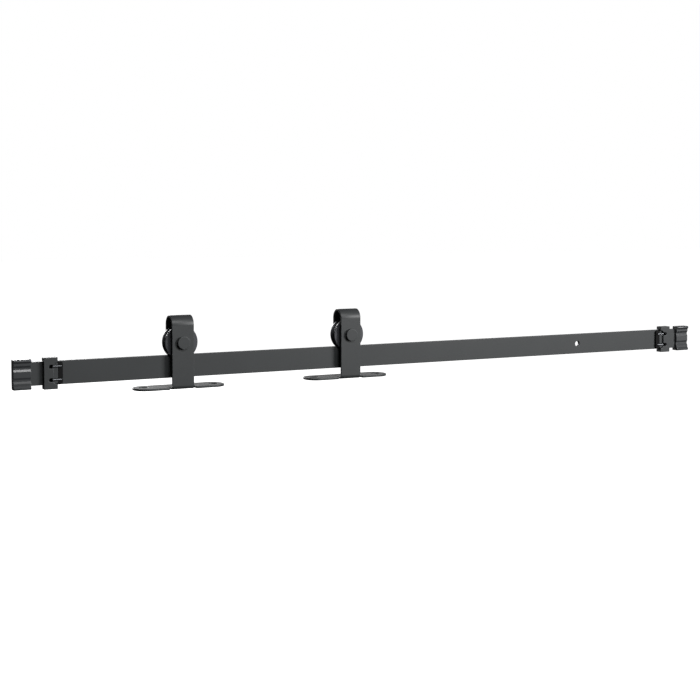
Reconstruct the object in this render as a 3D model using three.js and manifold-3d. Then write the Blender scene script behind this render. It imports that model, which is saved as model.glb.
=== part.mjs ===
// Sliding barn door hardware for a light cabinet door.
// A flat steel rail with a clamped stop and a profiled cap at each end carries two
// strap hangers. Each hanger runs on a grooved wheel with a ball bearing and ends in
// a foot plate that is screwed to the top edge of the door.
// Units are millimetres. +X runs along the rail, +Z is up and -Y faces the room.
// The origin is the middle of the rail's back face.

import * as THREE from 'three';
import * as BufferGeometryUtils from 'three/addons/utils/BufferGeometryUtils.js';
import Module from 'manifold-3d';

// Rail
const RAIL_HALF_LENGTH = 532;
const RAIL_HEIGHT = 30;
const RAIL_THICKNESS = 5;
const RAIL_EDGE = 0.6;
const RAIL_HOLE_RADIUS = 4;
const RAIL_HOLE_X = 324;
const RAIL_TOP = RAIL_HEIGHT / 2;
const RAIL_FRONT = -RAIL_THICKNESS;
const RAIL_MIDDLE = -RAIL_THICKNESS / 2;

// End caps
const CAP_INNER_X = 514.4;
const CAP_OUTER_X = 536.6;
const CAP_BACK = 1.2;
const CAP_HALF_HEIGHT = 19;
const CAP_TOP_FRONT = -9.8;
const CAP_LIP_FRONT = -11;
const CAP_LIP_OUTER_Z = 17.6;
const CAP_LIP_INNER_Z = 16.4;
const CAP_FLAT_FRONT = -9.2;
const CAP_FLAT_OUTER_Z = 14.1;
const CAP_FLAT_INNER_Z = 11.1;
const CAP_GROOVE_FRONT = -7.6;
const CAP_GROOVE_OUTER_Z = 8.6;
const CAP_GROOVE_INNER_Z = 6.3;
const CAP_BAND_FRONT = -8.8;
const CAP_BAND_HALF_HEIGHT = 3.8;
const CAP_POCKET_GAP = 0.15;

// Stops
const STOP_INNER_X = 481.1;
const STOP_WIDTH = 17.5;
const STOP_HALF_HEIGHT = 20;
const STOP_FRONT = -11;
const STOP_FRONT_WALL = 2.4;
const STOP_SIDE_GAP = 0.3;
const STOP_BEVEL = 0.7;
const RECESS_DEPTH = 5.2;
const RECESS_HALF_HEIGHT = 13.8;
const RECESS_CORNER = 4;
const SLOT_DEPTH = 11.5;
const SLOT_HALF_HEIGHT = 2.4;
const SLOT_CORNER = 2.39;
const CARRIER_FRONT = STOP_FRONT + 2.7;
const CARRIER_BACK = RAIL_FRONT - 0.3;
const CARRIER_HALF_HEIGHT = 13.4;
const CARRIER_CORNER = 2.5;
const CARRIER_PROUD = 0.8;
const CARRIER_DEPTH = 6.5;
const PIN_Z = 8.45;
const PIN_RADIUS = 1.6;
const PIN_INNER_REACH = 5.3;
const PIN_OUTER_REACH = 6.5;
const PIN_Y = CARRIER_FRONT;
const BUMPER_HALF_HEIGHT = 14.2;
const BUMPER_CORNER = 3;
const BUMPER_END_X = STOP_INNER_X - 7.4;
const BUMPER_SET_BACK = 0.3;

// Gaps between pieces that touch, and how far a cutter runs past the surface it cuts
const FIT_GAP = 0.1;
const OVERCUT = 1;

// Clamp screw in the underside of each stop
const GRUB_RADIUS = 2.5;
const GRUB_LENGTH = 3.2;
const GRUB_SOCKET_ACROSS_FLATS = 2.5;
const GRUB_SOCKET_DEPTH = 1.8;
const GRUB_GAP = 0.15;

// Hanger straps
const HANGERS = { left: -316.2, right: -70 };
const AXLE_Z = 31.2;
const STRAP_HALF_WIDTH = 15;
const STRAP_THICKNESS = 3;
const STRAP_OUTER_RADIUS = 12.8;
const STRAP_INNER_RADIUS = STRAP_OUTER_RADIUS - STRAP_THICKNESS;
const STRAP_TOP_Z = 66.6;
const STRAP_FRONT = RAIL_MIDDLE - STRAP_OUTER_RADIUS;
const STRAP_BACK = RAIL_MIDDLE + STRAP_OUTER_RADIUS;
const BACK_LEG_END_Z = AXLE_Z - 12.5;
const BACK_LEG_CORNER = 6;
const FOOT_BOTTOM_Z = -29.7;
const FOOT_TOP_Z = FOOT_BOTTOM_Z + STRAP_THICKNESS;
const FOOT_BEND_RADIUS = 5;
const FOOT_HALF_LENGTH = 62.5;
const FOOT_DEPTH = 36;
const FOOT_CORNER = 17;
const FOOT_HOLE_X = 48.5;
const FOOT_HOLE_RADIUS = 6;
const RELIEF_WIDTH = 3.5;
const RELIEF_DEPTH = 8;
const TONGUE_OVERLAP = 2;
const AXLE_HOLE_RADIUS = 4.1;

// Wheels, bearings and axles, measured from the wheel's middle plane
const WHEEL_RADIUS = 22.5;
const TREAD_RADIUS = 16;
const WHEEL_HALF_WIDTH = 6.7;
const GROOVE_HALF_WIDTH = 3.1;
const GROOVE_MOUTH_HALF_WIDTH = 4.3;
const WHEEL_EDGE = 0.8;
const BEARING_OUTER_RADIUS = 11;
const BEARING_HALF_WIDTH = 3.5;
const OUTER_SHOULDER_RADIUS = 9;
const INNER_SHOULDER_RADIUS = 6.2;
const BEARING_BORE_RADIUS = 4.1;
const BALL_PITCH_RADIUS = 7.6;
const BALL_RADIUS = 1.95;
const RACE_RADIUS = 2.1;
const BALL_COUNT = 7;
const CAGE_HALF_WIDTH = 1;
const CAGE_HALF_DEPTH = 0.6;
const SHIELD_THICKNESS = 0.5;
const SHIELD_GAP = 0.2;
const SPACER_RADIUS = 6;
const BOLT_RADIUS = 4;
const BOLT_HEAD_RADIUS = 8.5;
const BOLT_HEAD_HEIGHT = 4;
const BOLT_HEAD_EDGE = 0.6;
const WASHER_RADIUS = 8;
const WASHER_THICKNESS = 1.6;
const NUT_ACROSS_FLATS = 13;
const NUT_HEIGHT = 6.5;
const NUT_SEAT_CHAMFER = 0.6;
const NUT_TOP_CHAMFER = 1.2;
const BOLT_TAIL = 1.2;
const BOLT_END_CHAMFER = 0.8;

// Number of sides of the round pieces
const WHEEL_SIDES = 40;
const ROUND_SIDES = 24;
const SMALL_SIDES = 16;
const CORNER_SIDES = 5;
const FOOT_CORNER_SIDES = 8;
const BALL_SIDES = 10;
const BALL_RINGS = 8;

// Materials
const STEEL = { color: 0x47494a, roughness: 0.5, metalness: 0.4 };
const CAP_PLASTIC = { color: 0x2c2e2f, roughness: 0.55, metalness: 0.05 };
const RUBBER = { color: 0x1b1c1d, roughness: 0.85, metalness: 0 };
const WHEEL_NYLON = { color: 0x2a2b2c, roughness: 0.45, metalness: 0.05 };
const ZINC = { color: 0xa9abad, roughness: 0.35, metalness: 0.9 };
const BLACK_STEEL = { color: 0x232425, roughness: 0.4, metalness: 0.6 };
const BEARING_STEEL = { color: 0xb9bbbd, roughness: 0.2, metalness: 0.95 };

const wasm = await Module();
wasm.setup();

const model = new THREE.Group();

// ---- Shape helpers ----

function toSolid(geometry) {
  const plain = geometry.clone();
  plain.deleteAttribute('normal');
  plain.deleteAttribute('uv');
  const merged = BufferGeometryUtils.mergeVertices(plain, 1e-4);
  const vertProperties = new Float32Array(merged.attributes.position.array);
  const triVerts = new Uint32Array(merged.index.array);
  return new wasm.Manifold(new wasm.Mesh({ numProp: 3, vertProperties, triVerts }));
}

function toGeometry(solid) {
  const mesh = solid.getMesh();
  const geometry = new THREE.BufferGeometry();
  geometry.setAttribute('position', new THREE.BufferAttribute(mesh.vertProperties, 3));
  geometry.setIndex(new THREE.BufferAttribute(mesh.triVerts, 1));
  geometry.computeVertexNormals();
  return geometry;
}

function cut(geometry, ...cutters) {
  return toGeometry(cutters.reduce((solid, cutter) => solid.subtract(toSolid(cutter)), toSolid(geometry)));
}

function join(geometry, ...others) {
  return toGeometry(others.reduce((solid, other) => solid.add(toSolid(other)), toSolid(geometry)));
}

function extrude(shape, depth, sides = CORNER_SIDES) {
  return new THREE.ExtrudeGeometry(shape, { depth, bevelEnabled: false, curveSegments: sides });
}

// A shape drawn in Y and Z, extruded along X.
function alongX(shape, from, to, sides) {
  const basis = new THREE.Matrix4().makeBasis(
    new THREE.Vector3(0, 1, 0),
    new THREE.Vector3(0, 0, 1),
    new THREE.Vector3(1, 0, 0),
  );
  return extrude(shape, to - from, sides).applyMatrix4(basis).translate(from, 0, 0);
}

// A shape drawn in X and Z, extruded along Y.
function alongY(shape, from, to, sides) {
  return extrude(shape, to - from, sides).rotateX(Math.PI / 2).translate(0, to, 0);
}

// A shape drawn in X and Y, extruded along Z.
function alongZ(shape, from, to, sides) {
  return extrude(shape, to - from, sides).translate(0, 0, from);
}

function polygon(points) {
  return new THREE.Shape(points.map(([a, b]) => new THREE.Vector2(a, b)));
}

function rectangle(a0, b0, a1, b1) {
  return polygon([[a0, b0], [a1, b0], [a1, b1], [a0, b1]]);
}

function bevelledRectangle(a0, b0, a1, b1, bevel) {
  return polygon([
    [a0 + bevel, b0], [a1 - bevel, b0], [a1, b0 + bevel], [a1, b1 - bevel],
    [a1 - bevel, b1], [a0 + bevel, b1], [a0, b1 - bevel], [a0, b0 + bevel],
  ]);
}

function roundedRectangle(a0, b0, a1, b1, radius) {
  const shape = new THREE.Shape();
  shape.moveTo(a0 + radius, b0);
  shape.lineTo(a1 - radius, b0);
  shape.absarc(a1 - radius, b0 + radius, radius, -Math.PI / 2, 0, false);
  shape.lineTo(a1, b1 - radius);
  shape.absarc(a1 - radius, b1 - radius, radius, 0, Math.PI / 2, false);
  shape.lineTo(a0 + radius, b1);
  shape.absarc(a0 + radius, b1 - radius, radius, Math.PI / 2, Math.PI, false);
  shape.lineTo(a0, b0 + radius);
  shape.absarc(a0 + radius, b0 + radius, radius, Math.PI, 1.5 * Math.PI, false);
  return shape;
}

function hexagon(acrossFlats) {
  const radius = acrossFlats / Math.sqrt(3);
  const corner = (i) => [radius * Math.cos((i * Math.PI) / 3), radius * Math.sin((i * Math.PI) / 3)];
  return polygon([0, 1, 2, 3, 4, 5].map(corner));
}

// A cylinder along Y between two depths.
function rodY(radius, from, to, x, z, sides = ROUND_SIDES) {
  return new THREE.CylinderGeometry(radius, radius, to - from, sides).translate(x, (from + to) / 2, z);
}

// A cylinder along X.
function rodX(radius, from, to, y, z, sides = SMALL_SIDES) {
  return new THREE.CylinderGeometry(radius, radius, to - from, sides)
    .rotateZ(Math.PI / 2)
    .translate((from + to) / 2, y, z);
}

// A cylinder along Z.
function rodZ(radius, from, to, x, y, sides = ROUND_SIDES) {
  return new THREE.CylinderGeometry(radius, radius, to - from, sides)
    .rotateX(Math.PI / 2)
    .translate(x, y, (from + to) / 2);
}

// A solid of revolution about Y from [radius, y] points.
function turned(points, sides = ROUND_SIDES) {
  return new THREE.LatheGeometry(points.map(([r, y]) => new THREE.Vector2(r, y)), sides);
}

// A plain ring about Y.
function ring(innerRadius, outerRadius, from, to, sides = ROUND_SIDES) {
  return turned([
    [innerRadius, from], [outerRadius, from], [outerRadius, to], [innerRadius, to], [innerRadius, from],
  ], sides);
}

// The left-hand pieces are the right-hand ones mirrored in X.
function mirrored(geometry, side) {
  if (side === 'right') return geometry;
  const flipped = geometry.clone().scale(-1, 1, 1);
  const index = flipped.index.array;
  for (let i = 0; i < index.length; i += 3) {
    [index[i], index[i + 1]] = [index[i + 1], index[i]];
  }
  flipped.computeVertexNormals();
  return flipped;
}

function addMesh(parent, name, geometry, look) {
  const mesh = new THREE.Mesh(geometry, new THREE.MeshStandardMaterial(look));
  mesh.name = name;
  parent.add(mesh);
  return mesh;
}

// ---- Rail: flat bar with a screw hole about a fifth of the way in from each end ----

function railGeometry() {
  const section = bevelledRectangle(RAIL_FRONT, -RAIL_TOP, 0, RAIL_TOP, RAIL_EDGE);
  const bar = alongX(section, -RAIL_HALF_LENGTH, RAIL_HALF_LENGTH);
  const hole = (x) => rodY(RAIL_HOLE_RADIUS, RAIL_FRONT - OVERCUT, OVERCUT, x, 0);
  const holes = [-RAIL_HOLE_X, RAIL_HOLE_X].map(hole);
  return cut(bar, ...holes);
}

// ---- End caps: a grooved front profile, pushed over the rail's end ----

function capGeometry(side) {
  const upper = [
    [CAP_BACK, CAP_HALF_HEIGHT],
    [CAP_TOP_FRONT, CAP_HALF_HEIGHT],
    [CAP_LIP_FRONT, CAP_LIP_OUTER_Z],
    [CAP_LIP_FRONT, CAP_LIP_INNER_Z],
    [CAP_FLAT_FRONT, CAP_FLAT_OUTER_Z],
    [CAP_FLAT_FRONT, CAP_FLAT_INNER_Z],
    [CAP_GROOVE_FRONT, CAP_GROOVE_OUTER_Z],
    [CAP_GROOVE_FRONT, CAP_GROOVE_INNER_Z],
    [CAP_BAND_FRONT, CAP_BAND_HALF_HEIGHT],
  ];
  const lower = upper.map(([y, z]) => [y, -z]).reverse();
  const body = alongX(polygon([...upper, ...lower]), CAP_INNER_X, CAP_OUTER_X);
  const half = RAIL_TOP + CAP_POCKET_GAP;
  const pocket = alongX(
    rectangle(RAIL_FRONT - CAP_POCKET_GAP, -half, CAP_POCKET_GAP, half),
    CAP_INNER_X - OVERCUT,
    RAIL_HALF_LENGTH + CAP_POCKET_GAP,
  );
  return mirrored(cut(body, pocket), side);
}

// ---- Stops: a channel clamped round the rail, which holds a rubber bumper on a carrier ----

function stopBlockGeometry(side) {
  const outer = STOP_HALF_HEIGHT;
  const inner = RAIL_TOP + STOP_SIDE_GAP;
  const wall = STOP_FRONT + STOP_FRONT_WALL;
  const section = polygon([
    [0, outer - STOP_BEVEL], [-STOP_BEVEL, outer], [STOP_FRONT + STOP_BEVEL, outer],
    [STOP_FRONT, outer - STOP_BEVEL], [STOP_FRONT, -outer + STOP_BEVEL],
    [STOP_FRONT + STOP_BEVEL, -outer], [-STOP_BEVEL, -outer], [0, -outer + STOP_BEVEL],
    [0, -inner], [wall, -inner], [wall, inner], [0, inner],
  ]);
  const channel = alongX(section, STOP_INNER_X, STOP_INNER_X + STOP_WIDTH);
  const recess = alongY(
    roundedRectangle(
      STOP_INNER_X - RECESS_DEPTH,
      -RECESS_HALF_HEIGHT,
      STOP_INNER_X + RECESS_DEPTH,
      RECESS_HALF_HEIGHT,
      RECESS_CORNER,
    ),
    STOP_FRONT - OVERCUT,
    wall + OVERCUT,
  );
  const slots = [-PIN_Z, PIN_Z].map((z) => alongY(
    roundedRectangle(
      STOP_INNER_X,
      z - SLOT_HALF_HEIGHT,
      STOP_INNER_X + SLOT_DEPTH,
      z + SLOT_HALF_HEIGHT,
      SLOT_CORNER,
    ),
    STOP_FRONT - OVERCUT,
    wall + OVERCUT,
  ));
  const screwX = STOP_INNER_X + STOP_WIDTH / 2;
  const screwHole = rodZ(GRUB_RADIUS + FIT_GAP, -outer - OVERCUT, -inner + OVERCUT, screwX, RAIL_MIDDLE);
  return mirrored(cut(channel, recess, ...slots, screwHole), side);
}

// The two half-round grooves that hold the bumper's pins.
function pinGrooves() {
  const from = STOP_INNER_X - PIN_INNER_REACH - FIT_GAP;
  const to = STOP_INNER_X + PIN_OUTER_REACH + FIT_GAP;
  return [-PIN_Z, PIN_Z].map((z) => rodX(PIN_RADIUS + FIT_GAP, from, to, PIN_Y, z));
}

function carrierGeometry(side) {
  const plate = alongY(
    roundedRectangle(
      STOP_INNER_X - CARRIER_PROUD,
      -CARRIER_HALF_HEIGHT,
      STOP_INNER_X + CARRIER_DEPTH,
      CARRIER_HALF_HEIGHT,
      CARRIER_CORNER,
    ),
    CARRIER_FRONT,
    CARRIER_BACK,
  );
  return mirrored(cut(plate, ...pinGrooves()), side);
}

function bumperGeometry(side) {
  const outline = roundedRectangle(
    BUMPER_END_X,
    -BUMPER_HALF_HEIGHT,
    STOP_INNER_X + BUMPER_CORNER,
    BUMPER_HALF_HEIGHT,
    BUMPER_CORNER,
  );
  const nose = alongY(outline, CARRIER_FRONT + BUMPER_SET_BACK, CARRIER_BACK);
  const rear = alongY(
    rectangle(
      STOP_INNER_X - CARRIER_PROUD - FIT_GAP,
      -BUMPER_HALF_HEIGHT - OVERCUT,
      STOP_INNER_X + BUMPER_CORNER + OVERCUT,
      BUMPER_HALF_HEIGHT + OVERCUT,
    ),
    CARRIER_FRONT,
    CARRIER_BACK + OVERCUT,
  );
  return mirrored(cut(nose, rear, ...pinGrooves()), side);
}

function stopPinGeometry(side, z) {
  const from = STOP_INNER_X - PIN_INNER_REACH;
  const to = STOP_INNER_X + PIN_OUTER_REACH;
  return mirrored(rodX(PIN_RADIUS, from, to, PIN_Y, z), side);
}

function clampScrewGeometry(side) {
  const top = -RAIL_TOP - GRUB_GAP;
  const bottom = top - GRUB_LENGTH;
  const body = rodZ(GRUB_RADIUS, bottom, top, 0, 0);
  const socket = alongZ(
    hexagon(GRUB_SOCKET_ACROSS_FLATS),
    bottom - OVERCUT,
    bottom + GRUB_SOCKET_DEPTH,
  );
  const screw = cut(body, socket).translate(STOP_INNER_X + STOP_WIDTH / 2, RAIL_MIDDLE, 0);
  return mirrored(screw, side);
}

// ---- Hanger strap: one flat bar, looped over the wheel and bent back into the foot ----

function strapSection() {
  const centre = RAIL_MIDDLE;
  const arcZ = STRAP_TOP_Z - STRAP_OUTER_RADIUS;
  const innerBend = FOOT_BEND_RADIUS - STRAP_THICKNESS;
  const bendY = STRAP_FRONT + FOOT_BEND_RADIUS;
  const bendZ = FOOT_BOTTOM_Z + FOOT_BEND_RADIUS;
  const tongueY = STRAP_FRONT + RELIEF_DEPTH + TONGUE_OVERLAP;
  const shape = new THREE.Shape();
  shape.moveTo(tongueY, FOOT_TOP_Z);
  shape.lineTo(bendY, FOOT_TOP_Z);
  shape.absarc(bendY, bendZ, innerBend, 1.5 * Math.PI, Math.PI, true);
  shape.lineTo(centre - STRAP_INNER_RADIUS, arcZ);
  shape.absarc(centre, arcZ, STRAP_INNER_RADIUS, Math.PI, 0, true);
  shape.lineTo(centre + STRAP_INNER_RADIUS, BACK_LEG_END_Z);
  shape.lineTo(centre + STRAP_OUTER_RADIUS, BACK_LEG_END_Z);
  shape.lineTo(centre + STRAP_OUTER_RADIUS, arcZ);
  shape.absarc(centre, arcZ, STRAP_OUTER_RADIUS, 0, Math.PI, false);
  shape.lineTo(STRAP_FRONT, bendZ);
  shape.absarc(bendY, bendZ, FOOT_BEND_RADIUS, Math.PI, 1.5 * Math.PI, false);
  shape.lineTo(tongueY, FOOT_BOTTOM_Z);
  return shape;
}

// What is left outside a quarter circle in a square corner of the back leg.
function backCorner(sign) {
  const x = sign * STRAP_HALF_WIDTH;
  const z = BACK_LEG_END_Z;
  const shape = new THREE.Shape();
  shape.moveTo(x + sign * OVERCUT, z - OVERCUT);
  shape.lineTo(x + sign * OVERCUT, z + BACK_LEG_CORNER);
  shape.lineTo(x, z + BACK_LEG_CORNER);
  const start = sign > 0 ? 0 : Math.PI;
  const end = sign > 0 ? -Math.PI / 2 : 1.5 * Math.PI;
  shape.absarc(x - sign * BACK_LEG_CORNER, z + BACK_LEG_CORNER, BACK_LEG_CORNER, start, end, sign > 0);
  shape.lineTo(x - sign * BACK_LEG_CORNER, z - OVERCUT);
  return alongY(shape, RAIL_MIDDLE, STRAP_BACK + OVERCUT);
}

function strapGeometry() {
  const strap = alongX(strapSection(), -STRAP_HALF_WIDTH, STRAP_HALF_WIDTH, SMALL_SIDES);
  const foot = alongZ(
    roundedRectangle(
      -FOOT_HALF_LENGTH, STRAP_FRONT, FOOT_HALF_LENGTH, STRAP_FRONT + FOOT_DEPTH, FOOT_CORNER,
    ),
    FOOT_BOTTOM_Z,
    FOOT_TOP_Z,
    FOOT_CORNER_SIDES,
  );
  const relief = (sign) => alongZ(
    rectangle(
      Math.min(0, sign * (STRAP_HALF_WIDTH + RELIEF_WIDTH)),
      STRAP_FRONT - OVERCUT,
      Math.max(0, sign * (STRAP_HALF_WIDTH + RELIEF_WIDTH)),
      STRAP_FRONT + RELIEF_DEPTH,
    ),
    FOOT_BOTTOM_Z - OVERCUT,
    FOOT_TOP_Z + OVERCUT,
  );
  const footHole = (sign) => rodZ(
    FOOT_HOLE_RADIUS,
    FOOT_BOTTOM_Z - OVERCUT,
    FOOT_TOP_Z + OVERCUT,
    sign * FOOT_HOLE_X,
    STRAP_FRONT + FOOT_DEPTH / 2,
  );
  const plate = cut(foot, relief(-1), relief(1), footHole(-1), footHole(1));
  const axleHole = rodY(AXLE_HOLE_RADIUS, STRAP_FRONT - OVERCUT, STRAP_BACK + OVERCUT, 0, AXLE_Z);
  return cut(join(strap, plate), axleHole, backCorner(-1), backCorner(1));
}

// ---- Wheel, bearing and axle, turned about Y with the wheel's middle at y = 0 ----

function wheelGeometry() {
  const bore = BEARING_OUTER_RADIUS + FIT_GAP / 2;
  const half = WHEEL_HALF_WIDTH;
  const rim = WHEEL_RADIUS;
  const front = [
    [bore, -half], [rim - WHEEL_EDGE, -half], [rim, -half + WHEEL_EDGE],
    [rim, -GROOVE_MOUTH_HALF_WIDTH], [TREAD_RADIUS, -GROOVE_HALF_WIDTH],
  ];
  const back = front.map(([r, y]) => [r, -y]).reverse();
  return turned([...front, ...back, front[0]], WHEEL_SIDES);
}

// The race groove of a bearing ring, from one shoulder to the other.
function raceArc(shoulder) {
  const drop = shoulder - BALL_PITCH_RADIUS;
  const outward = Math.sign(drop);
  const half = Math.acos(Math.abs(drop) / RACE_RADIUS);
  return [-1, -0.5, 0, 0.5, 1].map((t) => [
    BALL_PITCH_RADIUS + outward * RACE_RADIUS * Math.cos(t * half),
    RACE_RADIUS * Math.sin(t * half),
  ]);
}

function bearingOuterGeometry() {
  const half = BEARING_HALF_WIDTH;
  const race = raceArc(OUTER_SHOULDER_RADIUS).reverse();
  return turned([
    [OUTER_SHOULDER_RADIUS, -half], [BEARING_OUTER_RADIUS, -half],
    [BEARING_OUTER_RADIUS, half], [OUTER_SHOULDER_RADIUS, half],
    ...race, [OUTER_SHOULDER_RADIUS, -half],
  ]);
}

function bearingInnerGeometry() {
  const half = BEARING_HALF_WIDTH;
  const race = raceArc(INNER_SHOULDER_RADIUS);
  return turned([
    [BEARING_BORE_RADIUS, -half], [INNER_SHOULDER_RADIUS, -half],
    ...race, [INNER_SHOULDER_RADIUS, half],
    [BEARING_BORE_RADIUS, half], [BEARING_BORE_RADIUS, -half],
  ]);
}

function ballsGeometry() {
  const cage = ring(
    BALL_PITCH_RADIUS - CAGE_HALF_DEPTH,
    BALL_PITCH_RADIUS + CAGE_HALF_DEPTH,
    -CAGE_HALF_WIDTH,
    CAGE_HALF_WIDTH,
    BALL_COUNT * 4,
  );
  const ball = (i) => {
    const angle = (2 * Math.PI * i) / BALL_COUNT;
    return new THREE.SphereGeometry(BALL_RADIUS, BALL_SIDES, BALL_RINGS)
      .translate(BALL_PITCH_RADIUS * Math.cos(angle), 0, BALL_PITCH_RADIUS * Math.sin(angle));
  };
  return join(cage, ...Array.from({ length: BALL_COUNT }, (_, i) => ball(i)));
}

function shieldGeometry(sign) {
  const outer = BEARING_HALF_WIDTH - SHIELD_GAP;
  const inner = outer - SHIELD_THICKNESS;
  const from = sign > 0 ? inner : -outer;
  return ring(
    INNER_SHOULDER_RADIUS + SHIELD_GAP,
    OUTER_SHOULDER_RADIUS - FIT_GAP,
    from,
    from + SHIELD_THICKNESS,
  );
}

function spacerGeometry(sign) {
  const near = BEARING_HALF_WIDTH + FIT_GAP;
  const far = STRAP_INNER_RADIUS - FIT_GAP;
  return ring(BEARING_BORE_RADIUS, SPACER_RADIUS, sign > 0 ? near : -far, sign > 0 ? far : -near);
}

function axleBoltGeometry() {
  const seat = -STRAP_OUTER_RADIUS - FIT_GAP;
  const crown = seat - BOLT_HEAD_HEIGHT;
  const end = STRAP_OUTER_RADIUS + WASHER_THICKNESS + NUT_HEIGHT + 3 * FIT_GAP + BOLT_TAIL;
  return turned([
    [0, crown],
    [BOLT_HEAD_RADIUS - BOLT_HEAD_EDGE, crown],
    [BOLT_HEAD_RADIUS, crown + BOLT_HEAD_EDGE],
    [BOLT_HEAD_RADIUS, seat],
    [BOLT_RADIUS, seat],
    [BOLT_RADIUS, end - BOLT_END_CHAMFER],
    [BOLT_RADIUS - BOLT_END_CHAMFER, end],
    [0, end],
  ]);
}

function washerGeometry() {
  const from = STRAP_OUTER_RADIUS + FIT_GAP;
  return ring(BEARING_BORE_RADIUS, WASHER_RADIUS, from, from + WASHER_THICKNESS);
}

function nutGeometry() {
  const from = STRAP_OUTER_RADIUS + WASHER_THICKNESS + 2 * FIT_GAP;
  const to = from + NUT_HEIGHT;
  const body = alongY(hexagon(NUT_ACROSS_FLATS), from, to);
  const corner = NUT_ACROSS_FLATS / Math.sqrt(3) + FIT_GAP;
  const chamfered = turned([
    [0, from],
    [corner - NUT_SEAT_CHAMFER, from],
    [corner, from + NUT_SEAT_CHAMFER],
    [corner, to - NUT_TOP_CHAMFER],
    [corner - NUT_TOP_CHAMFER, to],
    [0, to],
  ]);
  const bore = rodY(BEARING_BORE_RADIUS, from - OVERCUT, to + OVERCUT, 0, 0);
  return toGeometry(toSolid(body).intersect(toSolid(chamfered)).subtract(toSolid(bore)));
}

// ---- Assembly ----

addMesh(model, 'rail', railGeometry(), STEEL);

for (const side of ['left', 'right']) {
  addMesh(model, `end_cap_${side}`, capGeometry(side), CAP_PLASTIC);
  addMesh(model, `stop_block_${side}`, stopBlockGeometry(side), STEEL);
  addMesh(model, `stop_carrier_${side}`, carrierGeometry(side), STEEL);
  addMesh(model, `stop_bumper_${side}`, bumperGeometry(side), RUBBER);
  addMesh(model, `stop_pin_upper_${side}`, stopPinGeometry(side, PIN_Z), BLACK_STEEL);
  addMesh(model, `stop_pin_lower_${side}`, stopPinGeometry(side, -PIN_Z), BLACK_STEEL);
  addMesh(model, `clamp_screw_${side}`, clampScrewGeometry(side), BLACK_STEEL);
}

for (const [side, x] of Object.entries(HANGERS)) {
  const hanger = new THREE.Group();
  hanger.position.set(x, 0, 0);
  model.add(hanger);
  addMesh(hanger, `hanger_strap_${side}`, strapGeometry(), STEEL);

  const axle = new THREE.Group();
  axle.position.set(0, RAIL_MIDDLE, AXLE_Z);
  hanger.add(axle);
  addMesh(axle, `axle_bolt_${side}`, axleBoltGeometry(), STEEL);
  addMesh(axle, `spacer_front_${side}`, spacerGeometry(-1), ZINC);
  addMesh(axle, `spacer_back_${side}`, spacerGeometry(1), ZINC);
  addMesh(axle, `axle_washer_${side}`, washerGeometry(), ZINC);
  addMesh(axle, `lock_nut_${side}`, nutGeometry(), BLACK_STEEL);
  addMesh(axle, `bearing_inner_ring_${side}`, bearingInnerGeometry(), BEARING_STEEL);
  addMesh(axle, `bearing_balls_${side}`, ballsGeometry(), BEARING_STEEL);
  addMesh(axle, `bearing_outer_ring_${side}`, bearingOuterGeometry(), BEARING_STEEL);
  addMesh(axle, `bearing_shield_front_${side}`, shieldGeometry(-1), ZINC);
  addMesh(axle, `bearing_shield_back_${side}`, shieldGeometry(1), ZINC);
  addMesh(axle, `wheel_${side}`, wheelGeometry(), WHEEL_NYLON);
}

export default model;
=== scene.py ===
"""Sliding barn door hardware: a flat rail with stops and end caps, and two hangers on wheels."""
import math

import bmesh
import bpy
from mathutils import Matrix, Vector


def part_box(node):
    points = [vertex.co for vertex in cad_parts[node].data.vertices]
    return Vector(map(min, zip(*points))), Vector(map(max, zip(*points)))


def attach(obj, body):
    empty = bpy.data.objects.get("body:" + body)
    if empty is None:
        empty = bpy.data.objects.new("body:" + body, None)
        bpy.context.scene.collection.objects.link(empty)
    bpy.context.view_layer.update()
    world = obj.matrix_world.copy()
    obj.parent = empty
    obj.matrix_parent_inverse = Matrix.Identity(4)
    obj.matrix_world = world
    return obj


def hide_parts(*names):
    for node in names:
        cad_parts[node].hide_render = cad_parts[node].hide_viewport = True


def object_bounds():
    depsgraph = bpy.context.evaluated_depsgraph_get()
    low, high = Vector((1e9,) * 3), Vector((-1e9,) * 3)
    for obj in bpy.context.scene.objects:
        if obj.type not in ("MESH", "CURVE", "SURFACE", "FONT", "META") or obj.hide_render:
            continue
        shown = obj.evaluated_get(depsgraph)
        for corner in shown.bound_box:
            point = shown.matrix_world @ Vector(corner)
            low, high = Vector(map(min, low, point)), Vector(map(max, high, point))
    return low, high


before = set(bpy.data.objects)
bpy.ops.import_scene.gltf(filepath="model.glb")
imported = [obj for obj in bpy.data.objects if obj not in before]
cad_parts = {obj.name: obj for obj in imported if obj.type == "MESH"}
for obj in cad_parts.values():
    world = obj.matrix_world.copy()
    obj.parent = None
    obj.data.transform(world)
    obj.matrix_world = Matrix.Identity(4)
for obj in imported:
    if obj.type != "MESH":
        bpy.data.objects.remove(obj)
cad_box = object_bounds()

# ---- Camera ----
# A short telephoto view from the left and a little above, about two metres from the rail's
# middle. It is shifted down instead of tilted further, so that upright edges stay nearly upright.
CAMERA_PLACE = (-0.956, -1.715, 0.2073)
CAMERA_LOOK = (0.46128, 0.88572, -0.05205)
camera_data = bpy.data.cameras.new("camera")
camera_data.sensor_width = 36
camera_data.lens = 71.5
camera_data.shift_x = -0.0007
camera_data.shift_y = -0.1004
camera = bpy.data.objects.new("camera", camera_data)
camera.location = CAMERA_PLACE
camera.rotation_euler = Vector(CAMERA_LOOK).to_track_quat("-Z", "Y").to_euler()
bpy.context.scene.collection.objects.link(camera)
bpy.context.scene.camera = camera

# ---- Studio: table, surround and soft boxes ----
# A white light table lies well below the hardware in a dim room. A large soft box stands on the
# right in front, and a slim one hangs high in front, aimed at the left half. Two stand behind.
MM = 0.001
FLOOR_DROP = 420 * MM
FLOOR_SIZE = 30
ROOM_LIGHT = 0.035


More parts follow.
